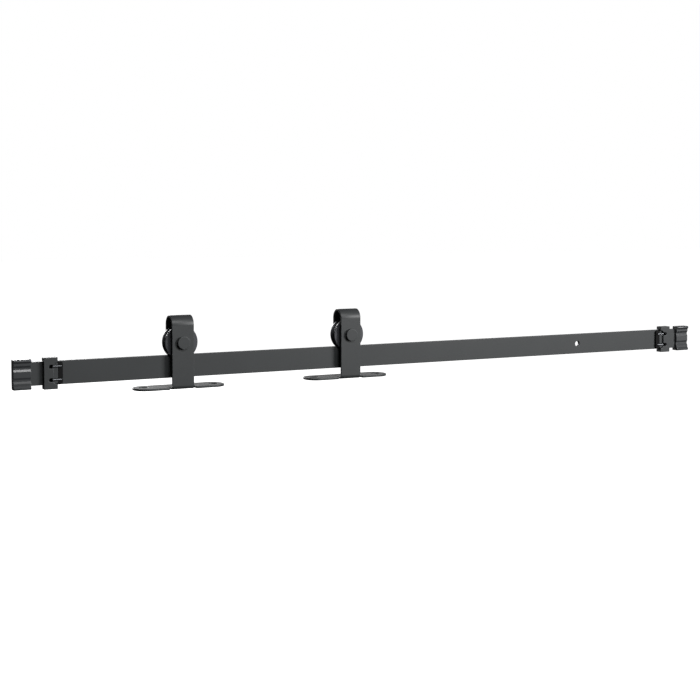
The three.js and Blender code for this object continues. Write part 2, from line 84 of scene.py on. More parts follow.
def linear(hex_colour):
    """An sRGB hex colour as linear RGBA."""
    parts = [int(hex_colour[i:i + 2], 16) / 255 for i in (1, 3, 5)]
    return [*(c / 12.92 if c <= 0.04045 else ((c + 0.055) / 1.055) ** 2.4 for c in parts), 1]


def add_node(tree, kind, inputs=None, **settings):
    """Adds a node with its settings. An input is a value, or the socket that feeds it."""
    node = tree.nodes.new(kind)
    for name, value in settings.items():
        setattr(node, name, value)
    for name, value in (inputs or {}).items():
        if isinstance(value, bpy.types.NodeSocket):
            tree.links.new(value, node.inputs[name])
        else:
            node.inputs[name].default_value = value
    return node


def soft_box(name, location, aim, width, height, power):
    """Hangs a rectangular soft box and points it. Sizes are in metres and the power in watts."""
    light = bpy.data.lights.new(name, "AREA")
    light.shape = "RECTANGLE"
    light.size = width
    light.size_y = height
    light.energy = power
    holder = bpy.data.objects.new(name, light)
    holder.location = location
    holder.rotation_euler = (Vector(aim) - Vector(location)).to_track_quat("-Z", "Y").to_euler()
    holder.visible_camera = False
    bpy.context.scene.collection.objects.link(holder)


bpy.context.scene.view_settings.view_transform = "Standard"

world = bpy.data.worlds.new("white_studio")
world.use_nodes = True
bpy.context.scene.world = world
tree = world.node_tree
tree.nodes.clear()
ray = add_node(tree, "ShaderNodeLightPath")
room = add_node(tree, "ShaderNodeBackground", {"Color": linear("#ffffff"), "Strength": ROOM_LIGHT})
backdrop = add_node(tree, "ShaderNodeBackground", {"Color": linear("#ffffff"), "Strength": 1.0})
mixed = add_node(tree, "ShaderNodeMixShader", {
    0: ray.outputs["Is Camera Ray"], 1: room.outputs[0], 2: backdrop.outputs[0],
})
add_node(tree, "ShaderNodeOutputWorld", {"Surface": mixed.outputs[0]})

soft_box("key_box", (2.0, -2.6, 0.9), aim=(0, 0, 0), width=1.4, height=1.0, power=97)
soft_box("strip_box", (0.0, -2.4, 2.1), aim=(-0.2, 0, 0), width=1.2, height=0.4, power=44)
soft_box("back_box", (0.95, 1.9, 0.55), aim=(0, 0, 0), width=2.2, height=0.5, power=3.5)
soft_box("rear_box", (-0.4, 3.0, 1.0), aim=(0, 0, 0), width=1.4, height=1.0, power=80)

floor_shape = bmesh.new()
bmesh.ops.create_grid(floor_shape, x_segments=1, y_segments=1, size=FLOOR_SIZE / 2)
bmesh.ops.translate(floor_shape, vec=(0, 0, cad_box[0].z - FLOOR_DROP), verts=floor_shape.verts)
floor_mesh = bpy.data.meshes.new("floor")
floor_shape.to_mesh(floor_mesh)
floor_shape.free()
floor = bpy.data.objects.new("floor", floor_mesh)
bpy.context.scene.collection.objects.link(floor)
light_table = bpy.data.materials.new("opal_glass_light_table")
light_table.use_nodes = True
table_shader = light_table.node_tree.nodes["Principled BSDF"]
table_shader.inputs["Base Color"].default_value = linear("#f8f8f8")
table_shader.inputs["Roughness"].default_value = 0.8
table_shader.inputs["Emission Color"].default_value = linear("#ffffff")
table_shader.inputs["Emission Strength"].default_value = 1.0
floor_mesh.materials.append(light_table)
floor.visible_diffuse = False
floor.visible_glossy = False

# ---- Rail ----
# A 30 x 5 mm bar of hot-rolled flat steel, sawn to length, drilled for its two wall screws, its
# edges broken, and powder coated in charcoal like the stops, the hangers and the bolt heads.
RAIL_EDGE = 0.6 * MM
RAIL_HOLE_RADIUS = 4 * MM
RAIL_HOLE_X = 324 * MM
# A bit is longer than the piece that it goes through, and a flat tool reaches past its edges.
BIT_LENGTH = 20 * MM
OVERCUT = 1 * MM
# Points closer than this are welded, and flat faces that turn less than this are made one.
WELD = 0.002 * MM
FLAT_TURN = math.radians(0.4)
# An edge that turns more than this is sharp, and gets rounded.
SHARP_TURN = math.radians(40)
# The faces of a round surface turn by an angle between these two, in radians, and are no larger
# than this area.
LEAST_ROUND_TURN = 0.001
MOST_ROUND_TURN = math.radians(9)
MOST_ROUND_AREA = 150 * MM * MM
# How far the roughness varies with the grain, and how high broad waves and lathe rings stand
# beside the grain's own bumps.
ROUGHNESS_SPREAD = 0.05
WAVE_SHARE = 0.6
RING_SHARE = 0.5


def surface(
    name, dark, light, worn_and_highlit, grain, cloud, rough, relief,
    metallic=0.0, specular=0.5, lathe_pitch=None,
):
    """A finish with a fine grain and broad clouds of colour, paler on its corners as worn coat and
    as a painted edge highlight. The relief is the height of the grain's bumps. A turned piece also
    has the rings of the lathe."""
    material = bpy.data.materials.new(name)
    material.use_nodes = True
    tree = material.node_tree
    place = add_node(tree, "ShaderNodeTexCoord").outputs["Object"]
    fine = add_node(tree, "ShaderNodeTexNoise", {"Vector": place, "Scale": 1 / grain, "Detail": 2})
    wave = add_node(tree, "ShaderNodeTexNoise", {
        "Vector": place, "Scale": 0.25 / grain, "Detail": 1,
    })
    broad = add_node(tree, "ShaderNodeTexNoise", {"Vector": place, "Scale": 1 / cloud, "Detail": 4})
    body = add_node(tree, "ShaderNodeMix", {"Factor": broad.outputs["Fac"]}, data_type="RGBA")
    body.inputs["A"].default_value = linear(dark)
    body.inputs["B"].default_value = linear(light)
    speck = add_node(tree, "ShaderNodeMapRange", {
        "Value": fine.outputs["Fac"], "From Min": 0.3, "From Max": 0.7,
        "To Min": 0.94, "To Max": 1.06,
    })
    speckled = add_node(tree, "ShaderNodeVectorMath", {1: speck.outputs[0]}, operation="MULTIPLY")
    tree.links.new(body.outputs["Result"], speckled.inputs[0])
    # Bevelled faces take the paler colour below: partly worn coat, partly a painted edge highlight.
    edge = add_node(tree, "ShaderNodeAttribute", attribute_name="edge_wear_and_highlight")
    patches = add_node(tree, "ShaderNodeMapRange", {
        "Value": wave.outputs["Fac"], "From Min": 0.4, "From Max": 0.65,
        "To Min": 0.1, "To Max": 0.7,
    })
    wear_and_highlight = add_node(tree, "ShaderNodeMath", {
        0: edge.outputs["Fac"], 1: patches.outputs[0],
    }, operation="MULTIPLY")
    colour = add_node(tree, "ShaderNodeMix", {"Factor": wear_and_highlight.outputs[0]}, data_type="RGBA")
    tree.links.new(speckled.outputs[0], colour.inputs["A"])
    colour.inputs["B"].default_value = linear(worn_and_highlit)
    gloss = add_node(tree, "ShaderNodeMapRange", {
        "Value": fine.outputs["Fac"], "From Min": 0.3, "From Max": 0.7,
        "To Min": rough - ROUGHNESS_SPREAD, "To Max": rough + ROUGHNESS_SPREAD,
    })
    height = add_node(tree, "ShaderNodeMath", {
        0: wave.outputs["Fac"], 1: WAVE_SHARE, 2: fine.outputs["Fac"],
    }, operation="MULTIPLY_ADD")
    if lathe_pitch:
        radius = add_node(tree, "ShaderNodeAttribute", attribute_name="turned_radius")
        turns = add_node(tree, "ShaderNodeMath", {
            0: radius.outputs["Fac"], 1: 2 * math.pi / lathe_pitch,
        }, operation="MULTIPLY")
        rings = add_node(tree, "ShaderNodeMath", {0: turns.outputs[0]}, operation="SINE")
        height = add_node(tree, "ShaderNodeMath", {
            0: rings.outputs[0], 1: RING_SHARE, 2: height.outputs[0],
        }, operation="MULTIPLY_ADD")
    bump = add_node(tree, "ShaderNodeBump", {
        "Height": height.outputs[0], "Strength": 0.5, "Distance": relief,
    })
    shader = tree.nodes["Principled BSDF"]
    shader.inputs["Metallic"].default_value = metallic
    shader.inputs["Specular IOR Level"].default_value = specular
    tree.links.new(colour.outputs["Result"], shader.inputs["Base Color"])
    tree.links.new(gloss.outputs[0], shader.inputs["Roughness"])
    tree.links.new(bump.outputs[0], shader.inputs["Normal"])
    return material


def block(low, high):
    """A sawn block between two corners."""
    low, high = Vector(low), Vector(high)
    bm = bmesh.new()
    bmesh.ops.create_cube(bm, size=1)
    bmesh.ops.scale(bm, vec=high - low, verts=bm.verts)
    bmesh.ops.translate(bm, vec=(low + high) / 2, verts=bm.verts)
    return bm


def drill_bit(centre, axis, radius, length, sides=48):
    """A round bar about the middle of a hole, to cut it with. With six sides it is a hexagon."""
    bm = bmesh.new()
    turn = Vector(axis).to_track_quat("Z", "Y").to_matrix().to_4x4()
    bmesh.ops.create_cone(
        bm, cap_ends=True, segments=sides, radius1=radius, radius2=radius, depth=length,
        matrix=Matrix.Translation(centre) @ turn,
    )
    return bm


def machine(bm, tool, operation="DIFFERENCE"):
    """Cuts a tool's shape out of a piece, welds it on, or keeps only what both of them fill."""
    holders = []
    for shape in (bm, tool):
        bmesh.ops.recalc_face_normals(shape, faces=shape.faces)
        mesh = bpy.data.meshes.new("work")
        shape.to_mesh(mesh)
        shape.free()
        holders.append(bpy.data.objects.new("work", mesh))
        bpy.context.scene.collection.objects.link(holders[-1])
    piece, cutter = holders
    modifier = piece.modifiers.new("machine", "BOOLEAN")
    modifier.operation = operation
    modifier.solver = "EXACT"
    modifier.object = cutter
    evaluated = piece.evaluated_get(bpy.context.evaluated_depsgraph_get())
    done = bpy.data.meshes.new_from_object(evaluated)
    result = bmesh.new()
    result.from_mesh(done)
    for holder in holders:
        bpy.data.meshes.remove(holder.data)
    bpy.data.meshes.remove(done)
    return result


def ease_edges(bm, radius, segments=3):
    """Rounds every sharp edge a little, and marks the rounding for paler wear and a painted
    highlight.
    """
    bmesh.ops.remove_doubles(bm, verts=bm.verts, dist=WELD)
    bmesh.ops.dissolve_limit(bm, angle_limit=FLAT_TURN, verts=bm.verts, edges=bm.edges)
    bmesh.ops.recalc_face_normals(bm, faces=bm.faces)
    wear_and_highlight = bm.faces.layers.float.get("edge_wear_and_highlight") or bm.faces.layers.float.new("edge_wear_and_highlight")
    edges = [e for e in bm.edges if e.is_manifold and e.calc_face_angle() > SHARP_TURN]
    made = bmesh.ops.bevel(
        bm, geom=edges, offset=radius, segments=segments, profile=0.5, affect="EDGES", material=-1,
    )
    # Marks the bevels for the paler corner colour: wear and a painted edge highlight.
    for face in made["faces"]:
        face[wear_and_highlight] = 1
        face.smooth = True


def is_round(face):
    """Whether a face is one step of a round surface."""
    turns = [edge.calc_face_angle(0) for edge in face.edges]
    bends = any(LEAST_ROUND_TURN < turn < MOST_ROUND_TURN for turn in turns)
    return bends and face.calc_area() < MOST_ROUND_AREA


def fit_piece(bm, name, body, material, node):
    """Makes the finished shape an object that rides on its body in place of its CAD node."""
    bm.normal_update()
    for face in bm.faces:
        face.smooth = face.smooth or is_round(face)
    mesh = bpy.data.meshes.new(name)
    bm.to_mesh(mesh)
    bm.free()
    mesh.materials.append(material)
    piece = bpy.data.objects.new(name, mesh)
    bpy.context.scene.collection.objects.link(piece)
    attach(piece, body)
    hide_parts(node)


# Polyester powder baked on steel: satin, slightly pebbled, greyer on corners: thin coat and painted
# highlight.
coated_steel = surface(
    "powder_coated_steel", dark="#3a3c3d", light="#404243", worn_and_highlit="#5c5f61",
    grain=0.5 * MM, cloud=45 * MM, rough=0.42, relief=0.03 * MM, specular=0.35,
)
rail_low, rail_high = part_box("rail")
rail_middle_y = (rail_low.y + rail_high.y) / 2
rail_shape = block(rail_low, rail_high)
for x in (-RAIL_HOLE_X, RAIL_HOLE_X):
    bit = drill_bit((x, rail_middle_y, 0), (0, 1, 0), RAIL_HOLE_RADIUS, BIT_LENGTH)
    rail_shape = machine(rail_shape, bit)
ease_edges(rail_shape, RAIL_EDGE)
fit_piece(rail_shape, "rail_bar", "rail", coated_steel, "rail")

# ---- End caps ----
# Each cap is moulded in black nylon. It is pushed over the end of the rail, and two grooves and
# a raised band run along its front. The mould leaves it satin, with softly rounded corners.
CAP_EDGE = 0.45 * MM
# The upper half of the front from its top edge down, as (Y, Z) points in millimetres.
CAP_FRONT_STEPS = [
    (-9.8, 19), (-11, 17.6), (-11, 16.4), (-9.2, 14.1), (-9.2, 11.1), (-7.6, 8.6), (-7.6, 6.3),
    (-8.8, 3.8),
]
CAP_POCKET_GAP = 0.15 * MM


def end_cap(side, material):
    """One cap: its profile carried along the rail, with a pocket for the rail's end."""
    low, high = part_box(f"end_cap_{side}")
    upper = [(high.y / MM, high.z / MM), *CAP_FRONT_STEPS]
    outline = [*upper, *[(y, -z) for y, z in reversed(upper)]]
    bm = bmesh.new()
    corners = [bm.verts.new((low.x, y * MM, z * MM)) for y, z in outline]
    profile = bm.faces.new(corners)
    made = bmesh.ops.extrude_face_region(bm, geom=[profile])["geom"]
    far = [part for part in made if isinstance(part, bmesh.types.BMVert)]
    bmesh.ops.translate(bm, vec=(high.x - low.x, 0, 0), verts=far)
    if side == "left":
        x0, x1 = rail_low.x - CAP_POCKET_GAP, high.x + OVERCUT
    else:
        x0, x1 = low.x - OVERCUT, rail_high.x + CAP_POCKET_GAP
    pocket = block(
        (x0, rail_low.y - CAP_POCKET_GAP, rail_low.z - CAP_POCKET_GAP),
        (x1, rail_high.y + CAP_POCKET_GAP, rail_high.z + CAP_POCKET_GAP),
    )
    bm = machine(bm, pocket)
    ease_edges(bm, CAP_EDGE)
    fit_piece(bm, f"grooved_cap_{side}", "rail", material, f"end_cap_{side}")


# Injection-moulded nylon: satin from the mould's fine spark-eroded texture.
cap_nylon = surface(
    "moulded_black_nylon", dark="#36383a", light="#3d3f41", worn_and_highlit="#55585b",
    grain=0.35 * MM, cloud=14 * MM, rough=0.34, relief=0.02 * MM, specular=0.7,
)
for side in ("left", "right"):
    end_cap(side, cap_nylon)

# ---- Stop blocks ----
# Each stop is a steel channel milled to grip the rail. Its front wall has a rounded recess for
# the bumper's carrier and two open slots for its pins, and a screw hole goes in from below.
STOP_WALL = 2.4 * MM
STOP_SIDE_GAP = 0.3 * MM
STOP_EDGE = 0.6 * MM
RECESS_DEPTH = 5.2 * MM
RECESS_HALF_HEIGHT = 13.8 * MM
RECESS_CORNER = 4 * MM
SLOT_DEPTH = 11.5 * MM
SLOT_HALF_HEIGHT = 2.4 * MM
SLOT_CORNER = 0.98 * SLOT_HALF_HEIGHT
CUTTER_RUN_OUT = 6 * MM
PIN_Z = 8.45 * MM
SCREW_HOLE_RADIUS = 2.6 * MM
SCREW_HOLE_DEPTH = 6 * MM
OUTWARD = {"left": -1, "right": 1}
# The cosine above which two directions count as parallel.
PARALLEL = 0.99


def goes_deep(edge):
    """Whether an edge runs along Y, from the room side to the wall side."""
    return abs((edge.verts[0].co - edge.verts[1].co).normalized().y) > PARALLEL


def rounded_block(low, high, radius):
    """A block with its four edges along Y rounded."""
    bm = block(low, high)
    edges = [e for e in bm.edges if goes_deep(e)]
    bmesh.ops.bevel(
        bm, geom=edges, offset=radius, segments=12, profile=0.5, affect="EDGES", material=-1,
    )
    return bm


def spans(inner, outer):
    """Two X values in rising order, for a piece on either side of the rail's middle."""
    return min(inner, outer), max(inner, outer)


def stop_block(side, material):
    """One stop: a channel with a recess, two slots and a screw hole."""
    low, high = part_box(f"stop_block_{side}")
    sign = OUTWARD[side]
    inner = low.x if side == "right" else high.x
    bm = block(low, high)
    half = rail_high.z + STOP_SIDE_GAP
    channel = block(
        (low.x - OVERCUT, low.y + STOP_WALL, -half),
        (high.x + OVERCUT, high.y + OVERCUT, half),
    )
    bm = machine(bm, channel)
    front = low.y - OVERCUT
    back = low.y + STOP_WALL + OVERCUT
    x0, x1 = spans(inner - sign * CUTTER_RUN_OUT, inner + sign * RECESS_DEPTH)
    recess = rounded_block(
        (x0, front, -RECESS_HALF_HEIGHT), (x1, back, RECESS_HALF_HEIGHT), RECESS_CORNER,
    )
    bm = machine(bm, recess)
    x0, x1 = spans(inner - sign * CUTTER_RUN_OUT, inner + sign * SLOT_DEPTH)
    for z in (-PIN_Z, PIN_Z):
        slot = rounded_block(
            (x0, front, z - SLOT_HALF_HEIGHT), (x1, back, z + SLOT_HALF_HEIGHT), SLOT_CORNER,
        )
        bm = machine(bm, slot)
    screw_centre = ((low.x + high.x) / 2, rail_middle_y, low.z)
    bm = machine(bm, drill_bit(screw_centre, (0, 0, 1), SCREW_HOLE_RADIUS, 2 * SCREW_HOLE_DEPTH))
    ease_edges(bm, STOP_EDGE)
    fit_piece(
        bm, f"stop_channel_{side}", "rail", material, f"stop_block_{side}",
    )


for side in ("left", "right"):
    stop_block(side, coated_steel)

# ---- Bumper carriers ----
# A small steel plate sits behind the front wall of each stop and carries its bumper. Two
# half-round grooves are milled across its face for the pins, and it is coated like the stop.
CARRIER_CORNER = 2.5 * MM
CARRIER_EDGE = 0.35 * MM
PIN_GROOVE_GAP = 0.1 * MM


def groove_pins(bm, side):
    """Mills the two grooves that the pins of a stop lie in."""
    for level in ("upper", "lower"):
        low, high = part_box(f"stop_pin_{level}_{side}")
        radius = (high.z - low.z) / 2 + PIN_GROOVE_GAP
        cutter = drill_bit((low + high) / 2, (1, 0, 0), radius, high.x - low.x + 2 * PIN_GROOVE_GAP)
        bm = machine(bm, cutter)
    return bm


for side in ("left", "right"):
    carrier_low, carrier_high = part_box(f"stop_carrier_{side}")
    carrier_shape = groove_pins(rounded_block(carrier_low, carrier_high, CARRIER_CORNER), side)
    ease_edges(carrier_shape, CARRIER_EDGE)
    fit_piece(
        carrier_shape, f"grooved_carrier_{side}", "rail", coated_steel,
        f"stop_carrier_{side}",
    )

# ---- Bumpers ----
# The nose of each stop is a pad of black rubber, moulded on the front of the carrier and round
# the pins. It is matt and softly rounded, and takes the knock of the wheel.
BUMPER_CORNER = 3 * MM
BUMPER_EDGE = 0.7 * MM
NEAR = 0.001 * MM
# Moulded natural rubber: nearly black, dull and faintly grained.
rubber = surface(
    "moulded_black_rubber", dark="#0b0b0c", light="#101011", worn_and_highlit="#1b1c1d",
    grain=0.4 * MM, cloud=6 * MM, rough=0.85, relief=0.03 * MM, specular=0.25,
)
for side in ("left", "right"):
    pad_low, pad_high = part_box(f"stop_bumper_{side}")
    pad_shape = block(pad_low, pad_high)
    nose_x = pad_high.x if side == "left" else pad_low.x
    nose_edges = [
        e for e in pad_shape.edges
        if goes_deep(e) and abs(e.verts[0].co.x - nose_x) < NEAR
    ]
    bmesh.ops.bevel(
        pad_shape, geom=nose_edges, offset=BUMPER_CORNER, segments=10, profile=0.5, affect="EDGES",
        material=-1,
    )
    pad_shape = groove_pins(pad_shape, side)
    ease_edges(pad_shape, BUMPER_EDGE, segments=4)
    fit_piece(pad_shape, f"rubber_pad_{side}", "rail", rubber, f"stop_bumper_{side}")

# ---- Stop pins ----
# Two round steel pins join each bumper to its carrier. They are turned with rounded ends,
# blackened in oil, pressed into the grooves and free of the slots round them.
PIN_END_ROUNDING = 0.5 * MM


def turned(centre, profile, steps, axis=(0, 1, 0)):
    """Turns (radius, place along the axis) points about an axis through the centre. A profile
    that starts off the axis is closed on itself."""
    bm = bmesh.new()
    points = [bm.verts.new((radius, along, 0)) for radius, along in profile]
    for start, end in zip(points, points[1:]):
        bm.edges.new((start, end))
    if profile[0][0] > 0:
        bm.edges.new((points[-1], points[0]))
    bmesh.ops.spin(
        bm, geom=[*bm.verts, *bm.edges], cent=(0, 0, 0), axis=(0, 1, 0), angle=2 * math.pi,
        steps=steps, use_merge=True,
    )
    bmesh.ops.remove_doubles(bm, verts=bm.verts, dist=WELD)
    bmesh.ops.recalc_face_normals(bm, faces=bm.faces)
    turned_radius = bm.verts.layers.float.new("turned_radius")
    for vert in bm.verts:
        vert[turned_radius] = math.hypot(vert.co.x, vert.co.z)
    turn = Vector((0, 1, 0)).rotation_difference(Vector(axis)).to_matrix().to_4x4()
    bmesh.ops.transform(bm, matrix=Matrix.Translation(centre) @ turn, verts=bm.verts)
    return bm


# Black oxide on mild steel: a thin dark grey film, slightly oily, that still shines like metal.
black_steel = surface(
    "black_oxide_steel", dark="#626467", light="#6a6c6f", worn_and_highlit="#7b7d80",
    grain=0.25 * MM, cloud=8 * MM, rough=0.36, relief=0.008 * MM, metallic=0.85,
)
for side in ("left", "right"):
    for level in ("upper", "lower"):
        pin_low, pin_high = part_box(f"stop_pin_{level}_{side}")
        half = (pin_high.x - pin_low.x) / 2
        radius = (pin_high.z - pin_low.z) / 2
        pin_shape = turned(
            (pin_low + pin_high) / 2, [(0, -half), (radius, -half), (radius, half), (0, half)],
            steps=32, axis=(1, 0, 0),
        )
        ease_edges(pin_shape, PIN_END_ROUNDING)
        fit_piece(
            pin_shape, f"round_pin_{level}_{side}", "rail", black_steel,
            f"stop_pin_{level}_{side}",
        )

# ---- Clamp screws ----
# A short grub screw with a hexagon socket goes into the underside of each stop and grips the
# rail's edge. The screws are blackened steel, sunk a little into their holes.
GRUB_EDGE = 0.15 * MM
SOCKET_ACROSS_FLATS = 2.5 * MM
SOCKET_DEPTH = 1.8 * MM
for side in ("left", "right"):
    screw_low, screw_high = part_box(f"clamp_screw_{side}")
    centre = (screw_low + screw_high) / 2
    half = (screw_high.z - screw_low.z) / 2
    radius = (screw_high.x - screw_low.x) / 2
    screw_shape = turned(
        centre, [(0, -half), (radius, -half), (radius, half), (0, half)], steps=32, axis=(0, 0, 1),
    )
    socket = drill_bit(
        centre - Vector((0, 0, half)), (0, 0, 1), SOCKET_ACROSS_FLATS / math.sqrt(3),
        2 * SOCKET_DEPTH, sides=6,
    )
    screw_shape = machine(screw_shape, socket)
    ease_edges(screw_shape, GRUB_EDGE, segments=2)
    fit_piece(
        screw_shape, f"socket_screw_{side}", "rail", black_steel,
        f"clamp_screw_{side}",
    )

# ---- Hanger straps ----
# A hanger is one blank of 3 mm flat steel: a T with a rounded foot. It is bent back at the foot,
# with a relief cut on each side of the bend, looped over the wheel and ended behind it.
STRAP_HALF_WIDTH = 15 * MM
STRAP_THICKNESS = 3 * MM
STRAP_OUTER_RADIUS = 12.8 * MM
STRAP_EDGE = 0.5 * MM
BACK_LEG_DROP = 12.5 * MM
BACK_LEG_CORNER = 6 * MM
FOOT_BEND_RADIUS = 5 * MM
FOOT_CORNER = 17 * MM
FOOT_HOLE_X = 48.5 * MM
FOOT_HOLE_RADIUS = 6 * MM
RELIEF_WIDTH = 3.5 * MM
RELIEF_DEPTH = 8 * MM
RELIEF_CORNER = 1.2 * MM
AXLE_HOLE_RADIUS = 4.1 * MM
AXLE_BIT_LENGTH = 60 * MM
BEND_STEPS = 18
LOOP_STEPS = 40


def first_face(parts):
    """The first face in a list of points, edges and faces."""
    return next(part for part in parts if isinstance(part, bmesh.types.BMFace))


def draw_on(bm, end, along):
    """Carries a bar on from its end face and returns the new end."""
    made = bmesh.ops.extrude_face_region(bm, geom=[*end.verts, *end.edges, end])["geom"]
    new_end = first_face(made)
    bmesh.ops.translate(bm, vec=along, verts=new_end.verts)
    return new_end


def bend_on(bm, end, centre, angle, steps):
    """Bends a bar on about an axis along X and returns the new end."""
    made = bmesh.ops.spin(
        bm, geom=[*end.verts, *end.edges, end], cent=centre, axis=(1, 0, 0), angle=angle,
        steps=steps,
    )
    return first_face(made["geom_last"])


def hanger_strap(side, material):
    """One strap: its foot is cut flat, then its leg is drawn up, over the wheel and down behind."""
    node = f"hanger_strap_{side}"
    low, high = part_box(node)
    centre_x = (low.x + high.x) / 2
    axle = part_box(f"axle_bolt_{side}")
    axle_z = (axle[0].z + axle[1].z) / 2
    bend_y = low.y + FOOT_BEND_RADIUS
    relief_x = STRAP_HALF_WIDTH + RELIEF_WIDTH
    relief_y = low.y + RELIEF_DEPTH
    half_length = high.x - centre_x
    right = [
        (STRAP_HALF_WIDTH, bend_y), (STRAP_HALF_WIDTH, relief_y), (relief_x, relief_y),
        (relief_x, low.y), (half_length, low.y), (half_length, high.y),
    ]
    outline = [*right, *[(-x, y) for x, y in reversed(right)]]
    bm = bmesh.new()
    corners = [bm.verts.new((centre_x + x, y, low.z)) for x, y in outline]
    bm.faces.new(corners)
    ends = [v for v in corners if abs(abs(v.co.x - centre_x) - half_length) < NEAR]
    reliefs = [
        v for v in corners
        if abs(abs(v.co.x - centre_x) - relief_x) < NEAR and abs(v.co.y - relief_y) < NEAR
    ]
    for points, radius, steps in ((ends, FOOT_CORNER, 18), (reliefs, RELIEF_CORNER, 6)):
        bmesh.ops.bevel(
            bm, geom=points, offset=radius, segments=steps, profile=0.5, affect="VERTICES",
            material=-1,
        )
    made = bmesh.ops.extrude_face_region(bm, geom=list(bm.faces))["geom"]
    top = [part for part in made if isinstance(part, bmesh.types.BMVert)]
    bmesh.ops.translate(bm, vec=(0, 0, STRAP_THICKNESS), verts=top)
    bmesh.ops.recalc_face_normals(bm, faces=bm.faces)

    tongue = next(
        f for f in bm.faces
        if abs(f.calc_center_median().y - bend_y) < NEAR and abs(f.normal.y) > PARALLEL
    )
    arc_z = high.z - STRAP_OUTER_RADIUS
    foot_centre = (centre_x, bend_y, low.z + FOOT_BEND_RADIUS)
    loop_centre = (centre_x, low.y + STRAP_OUTER_RADIUS, arc_z)
    end = bend_on(bm, tongue, foot_centre, -math.pi / 2, BEND_STEPS)
    end = draw_on(bm, end, (0, 0, arc_z - low.z - FOOT_BEND_RADIUS))
    end = bend_on(bm, end, loop_centre, -math.pi, LOOP_STEPS)
    end = draw_on(bm, end, (0, 0, axle_z - BACK_LEG_DROP - arc_z))
    lower_corners = [e for e in end.edges if goes_deep(e)]
    bmesh.ops.bevel(
        bm, geom=lower_corners, offset=BACK_LEG_CORNER, segments=12, profile=0.5, affect="EDGES",
        material=-1,
    )
    for sign in (-1, 1):
        hole = (centre_x + sign * FOOT_HOLE_X, (low.y + high.y) / 2, low.z)
        bm = machine(bm, drill_bit(hole, (0, 0, 1), FOOT_HOLE_RADIUS, BIT_LENGTH))
    axle_hole = (centre_x, rail_middle_y, axle_z)
    bm = machine(bm, drill_bit(axle_hole, (0, 1, 0), AXLE_HOLE_RADIUS, AXLE_BIT_LENGTH))
    ease_edges(bm, STRAP_EDGE)
    fit_piece(bm, f"bent_strap_{side}", f"hanger_{side}", material, node)


for side in ("left", "right"):
    hanger_strap(side, coated_steel)

# ---- Wheels ----
# Each wheel is turned from black nylon, with a groove that straddles the rail, two flanges and
# a bore that holds the bearing. The faces keep the fine rings of the lathe.
WHEEL_STEPS = 96
TREAD_RADIUS = 16 * MM
GROOVE_HALF_WIDTH = 3.1 * MM
GROOVE_MOUTH_HALF_WIDTH = 4.3 * MM
WHEEL_BORE_RADIUS = 11.05 * MM
WHEEL_EDGE = 0.7 * MM


def wheel(side, material):
    """One wheel, turned with its groove and its bore."""
    low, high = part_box(f"wheel_{side}")
    centre = (low + high) / 2
    radius = (high.x - low.x) / 2
    half = (high.y - low.y) / 2
    front = [
        (WHEEL_BORE_RADIUS, -half), (radius, -half), (radius, -GROOVE_MOUTH_HALF_WIDTH),
        (TREAD_RADIUS, -GROOVE_HALF_WIDTH),
    ]
    profile = [*front, *[(r, -y) for r, y in reversed(front)]]
    bm = turned(centre, profile, WHEEL_STEPS)
    ease_edges(bm, WHEEL_EDGE)
    node = f"wheel_{side}"
    fit_piece(bm, f"grooved_wheel_{side}", node, material, node)


# Black cast nylon, turned: a soft sheen, with rings a quarter of a millimetre apart.
wheel_nylon = surface(
    "turned_black_nylon", dark="#3d3e42", light="#434449", worn_and_highlit="#56585d",
    grain=0.3 * MM, cloud=12 * MM, rough=0.4, relief=0.012 * MM, lathe_pitch=0.25 * MM,
)
for side in ("left", "right"):
    wheel(side, wheel_nylon)

# ---- Axle bolts ----
# A plain round-headed bolt goes through both legs of the strap. Its head is coated with the
# strap, so it has the same charcoal finish.
BOLT_RADIUS = 4 * MM
BOLT_HEAD_HEIGHT = 4 * MM
BOLT_HEAD_EDGE = 0.7 * MM
ROUND_STEPS = 64


def axle_bolt(side, material):
    """One bolt, turned with its head. It has no thread."""
    low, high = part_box(f"axle_bolt_{side}")
    centre = (low + high) / 2
    half = (high.y - low.y) / 2
    head_radius = (high.x - low.x) / 2
    profile = [
        (0, -half), (head_radius, -half), (head_radius, -half + BOLT_HEAD_HEIGHT),
        (BOLT_RADIUS, -half + BOLT_HEAD_HEIGHT), (BOLT_RADIUS, half), (0, half),
    ]
    bm = turned(centre, profile, ROUND_STEPS)
    ease_edges(bm, BOLT_HEAD_EDGE)
    fit_piece(
        bm, f"round_head_bolt_{side}", f"hanger_{side}", material,
        f"axle_bolt_{side}",
    )


for side in ("left", "right"):
    axle_bolt(side, coated_steel)

# ---- Spacers and washers ----
# Turned sleeves on the axle keep the wheel in the middle of the strap, and a washer lies under
# the nut. They are mild steel with bright zinc plating.
RING_EDGE = 0.25 * MM
AXLE_BORE_RADIUS = 4.1 * MM
# Zinc plating on steel: pale grey, slightly cloudy and blue, with a little mottling.
zinc_steel = surface(
    "zinc_plated_steel", dark="#a3a6a8", light="#b0b3b5", worn_and_highlit="#c2c4c5",
    grain=0.3 * MM, cloud=5 * MM, rough=0.34, relief=0.006 * MM, metallic=1.0,
    lathe_pitch=0.2 * MM,
)


def zinc_ring(node, name, body, bore, edge):
    """A plain plated ring turned about the axle, as wide and as large as its CAD node."""
    low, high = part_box(node)
    half = (high.y - low.y) / 2
    radius = (high.z - low.z) / 2
    profile = [(bore, -half), (radius, -half), (radius, half), (bore, half)]
    bm = turned((low + high) / 2, profile, ROUND_STEPS)
    ease_edges(bm, edge)
    fit_piece(bm, name, body, zinc_steel, node)


for side in ("left", "right"):
    for node, name in (
        (f"spacer_front_{side}", f"front_sleeve_{side}"),
        (f"spacer_back_{side}", f"back_sleeve_{side}"),
        (f"axle_washer_{side}", f"flat_washer_{side}"),
    ):
        zinc_ring(node, name, f"hanger_{side}", AXLE_BORE_RADIUS, RING_EDGE)

